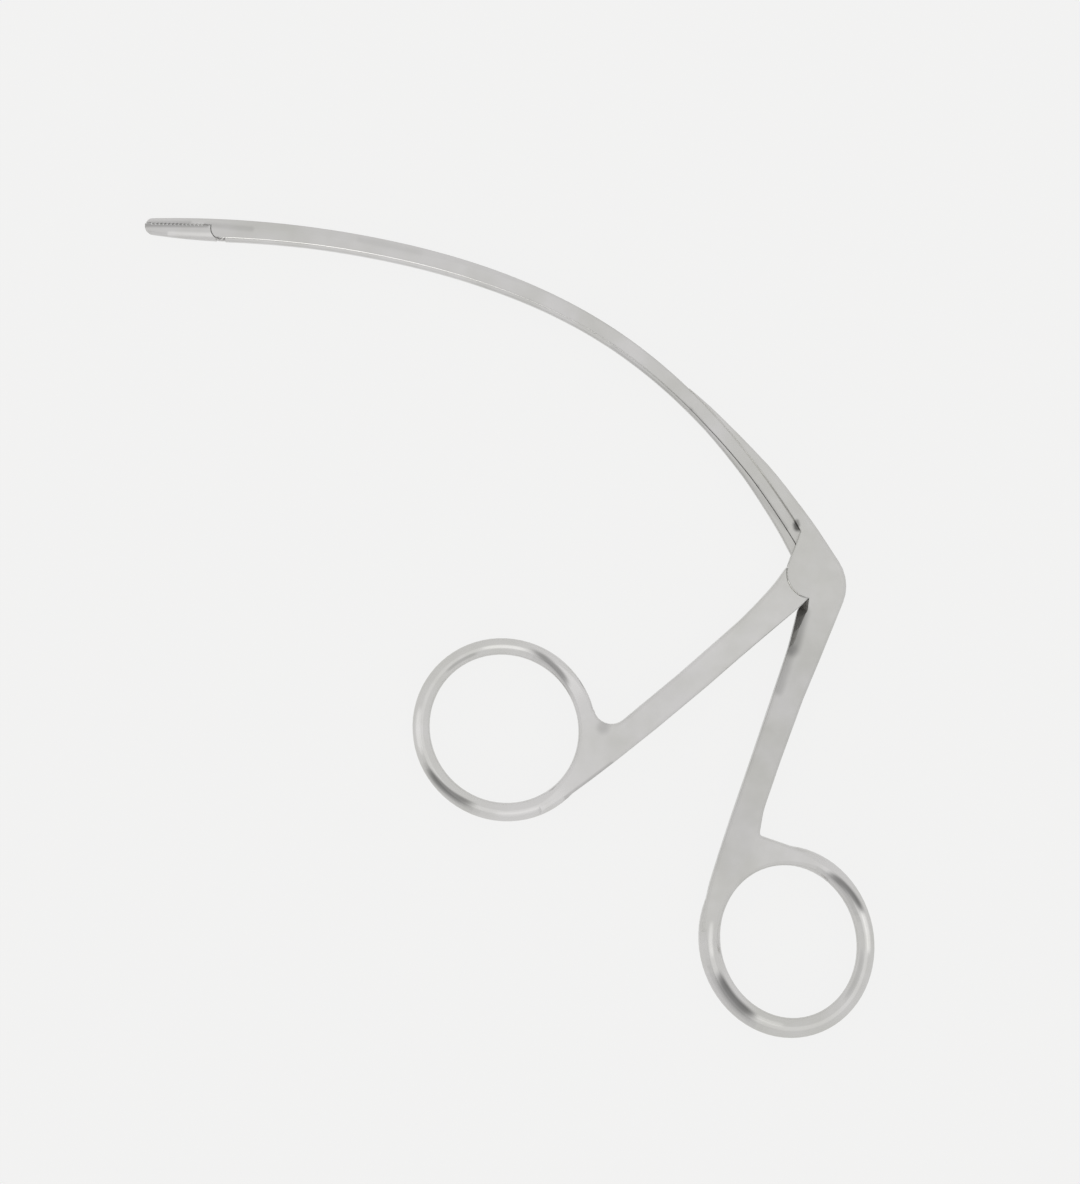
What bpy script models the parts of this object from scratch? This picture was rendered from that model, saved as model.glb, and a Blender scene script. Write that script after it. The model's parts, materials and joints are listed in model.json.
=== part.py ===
"""Tendon pulling forceps: a curved channel shaft with a serrated jaw at its tip, and two ring handles.

Squeezing the rings together turns the front handle, whose nose pushes the slider along the channel,
and the slider closes the moving jaw. The model lies on its side and is drawn closed. Working axes have
their origin on the handles' pivot, X to the right, Y towards the jaws and Z up, out of the side that
faces the viewer. The last step stands the model on the ground, centred.
"""

import math

import bmesh
import bpy
import numpy as np
from mathutils import Vector

MM = 0.001

# Shaft: its convex edge is the guide curve, measured from the heel in the head towards the tip. Shares
# are parts of the distance from the heel to the jaw's hinge
HINGE_STATION = 105.0 * MM
HEEL_ANGLE = -57.3
HEEL_AHEAD = 8.0 * MM
HEEL_OFFSET = 2.12 * MM
BEND_SHARES = (0.0, 0.381, 0.762, 1.124)
BEND_RADII = (156.7 * MM, 73.7 * MM, 156.7 * MM, 174.7 * MM)
BEND_MARGIN = 8.0 * MM
BEND_STEP = 0.05 * MM
SHAFT_WIDTH = 2.8 * MM
SHAFT_TANG = 2.9 * MM
CHANNEL_WIDTH = 1.4 * MM
CHANNEL_FLOOR = 0.6 * MM
DEPTH_SHARES = (-0.04, 0.0, 0.095, 0.19, 0.43, 0.59, 0.857, 1.0)
WALL_DEPTHS = (1.8 * MM, 1.8 * MM, 1.8 * MM, 2.05 * MM, 2.2 * MM, 2.45 * MM, 2.6 * MM, 2.8 * MM)
SLIDER_DEPTHS = (3.35 * MM, 3.05 * MM, 2.68 * MM, 2.6 * MM, 2.88 * MM, 3.1 * MM, 3.22 * MM, 3.42 * MM)
SHAFT_STEP = 1.6 * MM
JAW_STEP = 2.0 * MM
SLIDER_TAIL = 4.2 * MM
BACK_BEVEL_SHARES = (0.476, 0.714)
BACK_BEVEL_WIDTHS = (0.2 * MM, 1.1 * MM)
BACK_BEVEL_RISES = (0.08 * MM, 0.3 * MM)
BEVEL_REACH = 0.7
EDGE_BREAK_SHARES = (0.17, 0.3)
EDGE_BREAKS = (0.02 * MM, 0.12 * MM)
WALL_CHAMFER = 0.03 * MM

# Jaws
HINGE_DEPTH = 1.4 * MM
JAW_LENGTH = 12.1 * MM
JAW_OPENING = 35.0
JAW_LOWER_EDGE_ROOT = 2.0 * MM
JAW_LOWER_EDGE_TIP = 1.35 * MM
JAW_TIP_WIDTH = 2.1 * MM
PARTING_RISE = 0.43 * MM
PARTING_SLOPE = 0.02
JAW_NOSE_RADIUS = 1.15 * MM
NOSE_SHARES = (0.8, 0.6, 0.42, 0.27, 0.14, 0.05)
NOSE_THINNING = 0.6
NOSE_RISE = 1.1
JAW_ROOT = 0.9 * MM
CREASE_RADIUS = 1.75 * MM
CREASE_START = 80.0
TAIL_ROOT = (-2.6 * MM, 0.8 * MM)
TAIL_ROOT_RADIUS = 0.85 * MM
TOOTH_PITCH = 0.6 * MM
TOOTH_HEIGHT = 0.2 * MM
TEETH_START = 2.8 * MM
TEETH_COUNT = 14
JAW_CHAMFER = 0.45 * MM
HINGE_PIN_RADIUS = 0.4 * MM
LINK_RADIUS = 1.3 * MM
LINK_PIN_RADIUS = 0.4 * MM
EYE_RADIUS = 0.74 * MM
TONGUE_EYE_RADIUS = 0.7 * MM
TONGUE_ROOT = 0.3 * MM
PIN_REACH = 0.35 * MM
PIN_CHAMFER = 0.06 * MM

# Slider
SLIDER_TOP_GAP = 0.12 * MM
FLANGE_GAP_SHARES = (0.15, 0.35, 0.75, 1.0)
FLANGE_GAPS = (0.07 * MM, 0.03 * MM, 0.03 * MM, 0.08 * MM)
FLANGE_START = 0.5 * MM
SLIDER_CHAMFER = 0.15 * MM
LAP_LENGTH = 1.0 * MM
PIN_ROOM_REAR = 0.7 * MM
YOKE_PRONG = 0.7 * MM
YOKE_INSET = 0.15 * MM
YOKE_SHOULDER = 1.5 * MM
YOKE_LAP = 0.5 * MM
YOKE_HIP = (0.84, 0.55)
RIVET_RADIUS = 0.3 * MM
RIVET_DEPTH = 1.42 * MM
RIVET_SHARES = {"front": 0.924, "middle": 0.552, "rear": 0.21}

# Head, with its two cheeks, and the horn along the shaft
HEAD_THICKNESS = 4.4 * MM
LOBE_RADIUS = 3.95 * MM
LOBE_END = 259.5
CREST_OFFSET = 4.36 * MM
PLATE_CORNER_AHEAD = 6.4 * MM
PLATE_CORNER_OFFSET = 1.95 * MM
PLATE_CORNER_RADIUS = 0.5 * MM
HORN_LENGTH = 26.5 * MM
HORN_SHARES = (-0.12, 0.02, 0.13, 0.245, 0.36, 0.46, 0.66, 0.85, 1.0)
HORN_THICKNESSES = (
    2.24 * MM,
    2.03 * MM,
    1.83 * MM,
    1.7 * MM,
    1.48 * MM,
    1.2 * MM,
    0.72 * MM,
    0.4 * MM,
    0.08 * MM,
)
HORN_RIM = 0.03 * MM
HORN_SEAT = 0.015 * MM
HORN_RIM_SHARE = 0.35
HORN_ROOT = 0.4 * MM
HORN_STEP = 2.2 * MM
HORN_TAPER_START = 7.0 * MM
HORN_TAPER_END = 23.0 * MM
BACK_WALL = 0.56 * MM
SLOT_REAR = 2.1 * MM
SLOT_LOWER_CORNERS = ((9.5 * MM, 1.3 * MM), (9.5 * MM, -8.0 * MM), (0.0, -8.0 * MM), (-2.9 * MM, -3.4 * MM))
SLOT_STEP_OUT = -0.9 * MM
SLOT_CEILING_AHEAD = 2.6 * MM
CROTCH_ANGLE = 261.0
CROTCH_RADIUS = 4.05 * MM
CROTCH_SWEEP_RADIUS = 1.5 * MM

# Pivot
SCREW_RADIUS = 1.25 * MM
SCREW_HEAD_RADIUS = 2.05 * MM
SCREW_SLOT_WIDTH = 0.4 * MM
SCREW_SLOT_DEPTH = 0.35 * MM
SCREW_RIM = 0.12 * MM
SCREW_REACH = 0.4 * MM
HUB_RADIUS = 1.9 * MM
HANDLE_TRAVEL = 18.0
NOSE_RADIUS = 0.6 * MM
NOSE_ARM_HALF = 0.45 * MM
WEB_ANGLES = (190.0, 250.0)
WEB_REACH = 5.2 * MM
WEB_SKEW = 10.0

# Handle bars: the angle of a line from the pivot, and the side on which the ring lies. An edge is a row
# of (reach along that line, step towards the ring) pairs
FRONT_BAR = (219.7, 1)
FRONT_UPPER_EDGE = (
    (2.6 * MM, 3.18 * MM),
    (5.3 * MM, 2.5 * MM),
    (7.3 * MM, 2.15 * MM),
    (10.5 * MM, 1.76 * MM),
    (13.5 * MM, 1.5 * MM),
    (18.0 * MM, 1.37 * MM),
    (26.0 * MM, 1.16 * MM),
    (32.0 * MM, 1.17 * MM),
)
FRONT_LOWER_EDGE = (
    (51.5 * MM, -2.45 * MM),
    (46.5 * MM, -2.75 * MM),
    (41.5 * MM, -2.95 * MM),
    (34.0 * MM, -3.1 * MM),
    (24.0 * MM, -3.08 * MM),
    (16.9 * MM, -2.91 * MM),
    (5.1 * MM, -2.75 * MM),
)
SHOULDER_TOP = 168.0
SHOULDER_END = 258.0
BACK_BAR = (250.5, -1)
BACK_OUTER_EDGE = (
    (-0.82 * MM, 6.13 * MM),
    (12.3 * MM, 5.52 * MM),
    (19.0 * MM, 5.14 * MM),
    (29.0 * MM, 5.04 * MM),
    (37.2 * MM, 5.12 * MM),
)
BACK_INNER_EDGE = (
    (54.5 * MM, 1.55 * MM),
    (51.0 * MM, 1.1 * MM),
    (46.0 * MM, 0.9 * MM),
    (40.4 * MM, 0.77 * MM),
    (30.5 * MM, 0.69 * MM),
    (17.4 * MM, 0.49 * MM),
    (12.2 * MM, 0.4 * MM),
    (6.0 * MM, -0.16 * MM),
)
CREST_CORNER_RADIUS = 6.8 * MM
EDGE_SWEEP_RADIUS = 14.0 * MM
BAR_THICKNESS_AT_RING = 4.36 * MM
TAPER_START = 9.0 * MM
TAPER_END = 34.0 * MM
RIM_CURVE = 0.29
EDGE_RIM = 0.4 * MM
CRISP_RIM = 0.12 * MM

# Finger rings: centre as a pair like those of an edge, half sizes of the wire's path, and its tilt. The
# wire swells by a share of its width towards an angle, and its section is squarer by the bar
RING_DEPTH = 4.4 * MM
RING_JUNCTION_BACK = 12.0 * MM
ROUND_POWER = 2.0
SQUARE_POWER = 7.0
SQUARE_ANGLE = 60.0
BAR_LAP = 0.1 * MM
RING_STEPS = 72
WIRE_STEPS = 14
FRONT_RING_PLACE = (52.17 * MM, 11.83 * MM)
FRONT_RING_HALF = (13.09 * MM, 12.65 * MM)
FRONT_RING_TILT = 138.0
FRONT_RING_WIRE = 2.72 * MM
FRONT_RING_SWELL = (0.06, 290.0)
FRONT_BAR_END = (56.3 * MM, -1.9 * MM)
FRONT_FILLET = 2.8 * MM
BACK_RING_PLACE = (55.13 * MM, 15.48 * MM)
BACK_RING_HALF = (13.5 * MM, 12.0 * MM)
BACK_RING_TILT = 106.0
BACK_RING_WIRE = 3.08 * MM
BACK_RING_SWELL = (0.1, 185.0)
BACK_BAR_END = (58.0 * MM, 2.3 * MM)
BACK_WEB = ((41.05 * MM, 5.8 * MM), (41.0 * MM, 13.5 * MM))
BACK_FILLET = 0.7 * MM

# Relief along the back handle's inner edge, below the crotch: (reach, width, fall) of its slope
RELIEF = (
    (3.9 * MM, 0.1 * MM, 0.2 * MM),
    (5.7 * MM, 1.25 * MM, 2.1 * MM),
    (8.1 * MM, 0.95 * MM, 1.3 * MM),
    (10.4 * MM, 0.75 * MM, 0.8 * MM),
    (13.0 * MM, 0.65 * MM, 0.45 * MM),
    (18.0 * MM, 0.55 * MM, 0.25 * MM),
    (27.0 * MM, 0.3 * MM, 0.1 * MM),
)
RELIEF_MARGIN = 0.5 * MM

# Clearances
RUNNING_FIT = 0.05 * MM
PIN_RUNNING_FIT = 0.03 * MM
SEAT_GAP = 0.05 * MM
JAW_GAP = 0.12 * MM
CREASE_GAP = 0.1 * MM
SHOULDER_GAP = 0.1 * MM
NOTCH_GAP = 0.05 * MM
NOTCH_FLOOR_GAP = 0.12 * MM
SLIDE_GAP = 0.1 * MM
FLUSH_GAP = 0.03 * MM
LAP_GAP = 0.04 * MM
FACE_SHIFT = 0.01 * MM
OVERCUT = 2.0 * MM

STEEL = (0.56, 0.56, 0.54)
PIN_STEEL = (0.5, 0.5, 0.49)
STEEL_ROUGHNESS = 0.32

ORIGIN = Vector((0.0, 0.0))


def direction(degrees):
    """Unit vector in the plane of the instrument."""
    return Vector((math.cos(math.radians(degrees)), math.sin(math.radians(degrees))))


def arc(centre, radius, start, end, steps):
    """Points on a circle from one angle to another, both included."""
    return [centre + radius * direction(start + (end - start) * i / steps) for i in range(steps + 1)]


def circle(centre, radius, steps=24):
    """Points all round a circle."""
    return [centre + radius * direction(360.0 * i / steps) for i in range(steps)]


def rounded(corners, steps=5):
    """Outline of (point, rim) pairs from (corner, radius, rim): a radius turns its corner into an arc."""
    outline = []
    for i, (corner, radius, rim) in enumerate(corners):
        if radius <= 0:
            outline.append((corner, rim))
            continue
        before = (corners[i - 1][0] - corner).normalized()
        after = (corners[(i + 1) % len(corners)][0] - corner).normalized()
        half = before.angle(after) / 2
        centre = corner + (before + after).normalized() * (radius / math.sin(half))
        first = corner + before * (radius / math.tan(half)) - centre
        last = corner + after * (radius / math.tan(half)) - centre
        start = math.degrees(math.atan2(first.y, first.x))
        turn = math.degrees(math.atan2(last.y, last.x)) - start
        turn = (turn + 180.0) % 360.0 - 180.0
        outline += [(point, rim) for point in arc(centre, radius, start, start + turn, steps)]
    return outline


def hull(points):
    """Convex outline round the points, anticlockwise."""
    points = sorted({(p.x, p.y) for p in points})

    def chain(ordered):
        kept = []
        for x, y in ordered:
            while len(kept) > 1:
                (ax, ay), (bx, by) = kept[-2], kept[-1]
                if (bx - ax) * (y - ay) - (by - ay) * (x - ax) > 0:
                    break
                kept.pop()
            kept.append((x, y))
        return kept[:-1]

    return [Vector(p) for p in chain(points) + chain(reversed(points))]


def stations(start, end, step):
    """Evenly spaced values from start to end, no further apart than step."""
    count = max(2, math.ceil(abs(end - start) / step) + 1)
    return np.linspace(start, end, count).tolist()


def bend_table():
    """Distance, place and heading along the shaft's convex edge, from inside the head to past the tip."""
    distance = np.arange(-BEND_MARGIN, HINGE_STATION + JAW_LENGTH + BEND_MARGIN, BEND_STEP)
    curvature = np.interp(distance / HINGE_STATION, BEND_SHARES, [1 / radius for radius in BEND_RADII])
    step = np.diff(distance, prepend=distance[0])
    heading = np.cumsum(curvature * step)
    heading += math.radians(HEEL_ANGLE + 180.0) - np.interp(0.0, distance, heading)
    x = np.cumsum(np.cos(heading) * step)
    y = np.cumsum(np.sin(heading) * step)
    heel = HEEL_OFFSET * direction(HEEL_ANGLE + 90.0) - HEEL_AHEAD * direction(HEEL_ANGLE)
    x += heel.x - np.interp(0.0, distance, x)
    y += heel.y - np.interp(0.0, distance, y)
    return distance, x, y, heading


BEND = bend_table()


def heading_at(station):
    """Direction towards the tip at a distance from the heel, in degrees."""
    return math.degrees(np.interp(station, BEND[0], BEND[3]))


def along(station, depth=0.0):
    """Point at a distance from the heel along the convex edge, and a depth towards the concave side."""
    place = Vector((np.interp(station, BEND[0], BEND[1]), np.interp(station, BEND[0], BEND[2])))
    return place + float(depth) * direction(heading_at(station) + 90.0)


def wall_depth(station):
    return float(np.interp(station / HINGE_STATION, DEPTH_SHARES, WALL_DEPTHS))


def shelf_depth(station):
    """Depth of the slider's flange, a running gap below the shaft's walls."""
    gap = np.interp(station / HINGE_STATION, FLANGE_GAP_SHARES, FLANGE_GAPS)
    return wall_depth(station) + float(gap)


def slider_depth(station):
    return float(np.interp(station / HINGE_STATION, DEPTH_SHARES, SLIDER_DEPTHS))


def head_point(ahead, out):
    """Point in the head: ahead of the pivot along the heel of the shaft, and out towards the crest."""
    return out * direction(HEEL_ANGLE + 90.0) - ahead * direction(HEEL_ANGLE)


HINGE = along(HINGE_STATION, HINGE_DEPTH)


def hinge_point(rear, deep):
    """Point by the jaw's hinge: rear towards the handles and deep towards the concave side."""
    heading = heading_at(HINGE_STATION)
    return HINGE - float(rear) * direction(heading) + float(deep) * direction(heading + 90.0)


def slide_centre():
    """Centre of the circle that lies closest to the shaft's curve: the slider turns about it."""
    lhs = np.zeros((2, 2))
    rhs = np.zeros(2)
    for station in stations(0.0, HINGE_STATION, SHAFT_STEP):
        tangent = np.array(direction(heading_at(station)))
        lhs += np.outer(tangent, tangent)
        rhs += tangent * (tangent @ np.array(along(station, HINGE_DEPTH)))
    return Vector(np.linalg.solve(lhs, rhs))


SLIDE_CENTRE = slide_centre()
STROKE = 2 * LINK_RADIUS * math.sin(math.radians(JAW_OPENING / 2))
NOSE_OFFSET = STROKE / (2 * math.sin(math.radians(HANDLE_TRAVEL / 2)))
LINK_PLACE = hinge_point(
    -LINK_RADIUS * math.sin(math.radians(JAW_OPENING / 2)),
    LINK_RADIUS * math.cos(math.radians(JAW_OPENING / 2)),
)
NOSE_PLACE = NOSE_OFFSET * direction(HEEL_ANGLE + 90.0 + HANDLE_TRAVEL / 2)


def new_object(name, vertices, faces):
    """Closed mesh object with its faces pointing out."""
    mesh = bpy.data.meshes.new(name)
    mesh.from_pydata([tuple(v) for v in vertices], [], faces)
    work = bmesh.new()
    work.from_mesh(mesh)
    bmesh.ops.recalc_face_normals(work, faces=work.faces)
    work.to_mesh(mesh)
    work.free()
    body = bpy.data.objects.new(name, mesh)
    bpy.context.scene.collection.objects.link(body)
    return body


def loft(name, rings, closed=False):
    """Skin over rings of equal count. An open skin gets two end caps, a closed one joins up."""
    count = len(rings[0])
    vertices = [v for ring in rings for v in ring]
    faces = []
    for i in range(len(rings) if closed else len(rings) - 1):
        a = i * count
        b = (i + 1) % len(rings) * count
        for j in range(count):
            k = (j + 1) % count
            faces.append((a + j, a + k, b + k, b + j))
    if not closed:
        faces.append(tuple(range(count)))
        faces.append(tuple(range((len(rings) - 1) * count, len(rings) * count)))
    return new_object(name, vertices, faces)


def prism(name, outline, low, high):
    """Flat plate of an outline, between two heights."""
    return loft(name, [[(p.x, p.y, z) for p in outline] for z in (low, high)])


def turned(name, centre, profile, steps=32):
    """Solid of revolution about a line along Z through centre, from (radius, height) pairs."""
    return loft(name, [[(p.x, p.y, height) for p in circle(centre, radius, steps)] for radius, height in profile])


def combine(body, other, operation):
    """Boolean of two solids. The second is used up."""
    modifier = body.modifiers.new(operation.title(), "BOOLEAN")
    modifier.operation = operation
    modifier.solver = "EXACT"
    modifier.object = other
    graph = bpy.context.evaluated_depsgraph_get()
    mesh = bpy.data.meshes.new_from_object(body.evaluated_get(graph))
    body.modifiers.clear()
    old = body.data
    body.data = mesh
    bpy.data.meshes.remove(old)
    spent = other.data
    bpy.data.objects.remove(other)
    bpy.data.meshes.remove(spent)


def cut(body, tool):
    combine(body, tool, "DIFFERENCE")


def join(body, other):
    combine(body, other, "UNION")


def plate(name, outline, half):
    """Flat part centred on the mid-plane, from (point, rim) pairs: each rim is how far the edge rounds over."""
    points = [point for point, rim in outline]
    following = points[1:] + points[:1]
    area = sum(a.x * b.y - a.y * b.x for a, b in zip(points, following))
    inward = []
    for i, point in enumerate(points):
        before = (point - points[i - 1]).normalized()
        after = (following[i] - point).normalized()
        normal = Vector((-before.y - after.y, before.x + after.x)) * math.copysign(1, area)
        inward.append(normal / (1 + before.dot(after)))
    rings = []
    for inset, drop in ((1.0, 0.0), (RIM_CURVE, RIM_CURVE), (0.0, 1.0)):
        ring = []
        for (point, rim), normal in zip(outline, inward):
            spot = point + inset * rim * normal
            ring.append((spot.x, spot.y, half - drop * rim))
        rings.append(ring)
    under = [[(x, y, -z) for x, y, z in ring] for ring in rings]
    return loft(name, under + rings[::-1])


def taper_thickness(body, angle, start, end, share):
    """Thins a plate along a direction: full up to start, then evenly down to a share of it at end."""
    axis = direction(angle)
    work = bmesh.new()
    work.from_mesh(body.data)
    for place in (start, end):
        geometry = work.verts[:] + work.edges[:] + work.faces[:]
        bmesh.ops.bisect_plane(
            work, geom=geometry, dist=1e-7, plane_co=(*(axis * place), 0), plane_no=(*axis, 0)
        )
    for vertex in work.verts:
        reach = vertex.co.xy.dot(axis)
        vertex.co.z *= float(np.interp(reach, (start, end), (1.0, share)))
    work.to_mesh(body.data)
    work.free()


def shaft_section(station, nose, half, depth):
    """Ring of points round the shaft: a sloping bevel at the convex edge and chamfers at the other."""
    width = float(np.interp(station / HINGE_STATION, BACK_BEVEL_SHARES, BACK_BEVEL_WIDTHS))
    fall = float(np.interp(station / HINGE_STATION, BACK_BEVEL_SHARES, BACK_BEVEL_RISES))
    corner = float(np.interp(station / HINGE_STATION, EDGE_BREAK_SHARES, EDGE_BREAKS))
    profile = [
        (nose, half - fall - corner),
        (nose + corner, half - fall),
        (nose + min(width, BEVEL_REACH * (depth - nose)), half),
        (depth - WALL_CHAMFER, half),
        (depth, half - WALL_CHAMFER),
    ]
    ring = [(d, z) for d, z in profile] + [(d, -z) for d, z in reversed(profile)]
    place = [(along(station, d), z) for d, z in ring]
    return [(p.x, p.y, z) for p, z in place]


def nose_inset(distance, radius):
    """How far a round nose has drawn in, a distance before its end."""
    reach = max(0.0, radius - distance)
    return radius - math.sqrt(max(0.0, radius**2 - reach**2))


def tip_half_width(distance):
    """Half the jaws' width at a distance from their tip: an even taper and a round end."""
    share = min(1.0, distance / (JAW_LENGTH - CREASE_RADIUS))
    half = (JAW_TIP_WIDTH + (SHAFT_WIDTH - JAW_TIP_WIDTH) * share) / 2
    return half - NOSE_THINNING * nose_inset(distance, JAW_NOSE_RADIUS)


def parting_line(reach, shift):
    """Zigzag of the teeth, from the crease out to a reach past the tip. The shift is down, towards deep."""
    points = []
    first = TEETH_START
    for i in range(2 * TEETH_COUNT + 1):
        out = first + i * TOOTH_PITCH / 2
        height = TOOTH_HEIGHT / 2 if i % 2 else -TOOTH_HEIGHT / 2
        points.append((-out, -PARTING_RISE + PARTING_SLOPE * out + height + shift))
    points.insert(0, (-(first - TOOTH_PITCH / 2), -PARTING_RISE + PARTING_SLOPE * first + shift))
    points.append((-reach, -PARTING_RISE + PARTING_SLOPE * reach + shift))
    return points


def build_shaft():
    """Curved bar with the fixed jaw, then the jaw's space, the channel and the pin holes cut out."""
    tip = HINGE_STATION + JAW_LENGTH
    places = stations(-SHAFT_TANG, HINGE_STATION - JAW_STEP, SHAFT_STEP)
    places += stations(HINGE_STATION, tip - JAW_NOSE_RADIUS, JAW_STEP)
    places += [tip - JAW_NOSE_RADIUS * share for share in NOSE_SHARES]
    rings = []
    for station in places:
        left = tip - station
        half = SHAFT_WIDTH / 2 if left > JAW_LENGTH else tip_half_width(left)
        nose = nose_inset(left, JAW_NOSE_RADIUS)
        rings.append(shaft_section(station, nose, half, wall_depth(station)))
    shaft = loft("shaft", rings)

    below = max(SLIDER_DEPTHS) + OVERCUT
    space = [hinge_point(r, d) for r, d in parting_line(JAW_LENGTH + OVERCUT, -JAW_GAP / 2)]
    space.append(hinge_point(-JAW_LENGTH - OVERCUT, below))
    space.append(hinge_point(-CREASE_RADIUS * math.cos(math.radians(CREASE_START)), below))
    heading = heading_at(HINGE_STATION)
    top = math.degrees(math.asin((PARTING_RISE - PARTING_SLOPE * CREASE_RADIUS + JAW_GAP / 2) / CREASE_RADIUS))
    space += arc(HINGE, CREASE_RADIUS, heading + CREASE_START, heading - top, 12)
    cut(shaft, prism("jaw_space", space, -SHAFT_WIDTH, SHAFT_WIDTH))

    rings = []
    for station in stations(-SHAFT_TANG - OVERCUT, HINGE_STATION + OVERCUT, SHAFT_STEP):
        ring = []
        for depth, z in ((CHANNEL_FLOOR, -0.5), (CHANNEL_FLOOR, 0.5), (below, 0.5), (below, -0.5)):
            place = along(station, depth)
            ring.append((place.x, place.y, z * CHANNEL_WIDTH))
        rings.append(ring)
    cut(shaft, loft("channel", rings))

    end = pin_end() + FLUSH_GAP
    hole = HINGE_PIN_RADIUS + PIN_RUNNING_FIT
    cut(shaft, turned("hinge_hole", HINGE, [(hole, -SHAFT_WIDTH), (hole, end)], 24))
    hole = RIVET_RADIUS + PIN_RUNNING_FIT
    for place in rivet_places().values():
        cut(shaft, turned("rivet_hole", place, [(hole, -SHAFT_WIDTH), (hole, end)], 20))
    return shaft


def pin_end():
    """Height at which the hinge pin and the rivets end, inside the shaft's near wall."""
    return CHANNEL_WIDTH / 2 + PIN_REACH


def rivet_places(shift=0.0):
    """Places of the guide rivets, moved along the shaft by a shift."""
    return {name: along(share * HINGE_STATION + shift, RIVET_DEPTH) for name, share in RIVET_SHARES.items()}


def build_moving_jaw():
    """Serrated lower jaw with a concave heel, and a thin tail that holds the hinge and link eyes."""
    rings = []
    line = parting_line(JAW_LENGTH + OVERCUT, JAW_GAP / 2)
    xs = np.array([-r for r, d in line])
    tops = np.array([d for r, d in line])
    places = [JAW_ROOT] + [x for x in xs if x < JAW_LENGTH - JAW_NOSE_RADIUS]
    places += [JAW_LENGTH - JAW_NOSE_RADIUS * share for share in (1.0, *NOSE_SHARES)]
    for reach in places:
        left = JAW_LENGTH - reach
        half = tip_half_width(left) if reach > CREASE_RADIUS else SHAFT_WIDTH / 2
        top = float(np.interp(reach, xs, tops))
        share = reach / JAW_LENGTH
        low = JAW_LOWER_EDGE_ROOT + (JAW_LOWER_EDGE_TIP - JAW_LOWER_EDGE_ROOT) * share**2
        low -= NOSE_RISE * nose_inset(left, JAW_NOSE_RADIUS)
        chamfer = min(JAW_CHAMFER, 0.3 * (low - top))
        profile = [(top, half), (low - chamfer, half), (low - 0.3 * chamfer, half - 0.5 * chamfer)]
        profile.append((low, half - 1.3 * chamfer))
        ring = profile + [(d, -z) for d, z in reversed(profile)]
        place = [(hinge_point(-reach, d), z) for d, z in ring]
        rings.append([(p.x, p.y, z) for p, z in place])
    jaw = loft("moving_jaw", rings)

    heel = CREASE_RADIUS + CREASE_GAP
    cut(jaw, turned("heel", HINGE, [(heel, -SHAFT_WIDTH), (heel, SHAFT_WIDTH)], 64))
    relief = LINK_RADIUS + EYE_RADIUS + SLIDE_GAP
    cut(jaw, turned("tongue_relief", HINGE, [(relief, -SHAFT_WIDTH), (relief, 0.0)], 64))

    low = LAP_GAP / 2
    high = CHANNEL_WIDTH / 2 - SEAT_GAP
    rim = circle(HINGE, EYE_RADIUS) + circle(LINK_PLACE, EYE_RADIUS)
    rim += circle(hinge_point(*TAIL_ROOT), TAIL_ROOT_RADIUS)
    join(jaw, prism("tail", hull(rim), low, high))
    hole = HINGE_PIN_RADIUS + PIN_RUNNING_FIT
    cut(jaw, turned("hinge_eye", HINGE, [(hole, -SHAFT_WIDTH), (hole, SHAFT_WIDTH)], 24))
    hole = LINK_PIN_RADIUS + FLUSH_GAP
    cut(jaw, turned("link_eye", LINK_PLACE, [(hole, -SHAFT_WIDTH), (hole, SHAFT_WIDTH)], 24))
    return jaw


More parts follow.
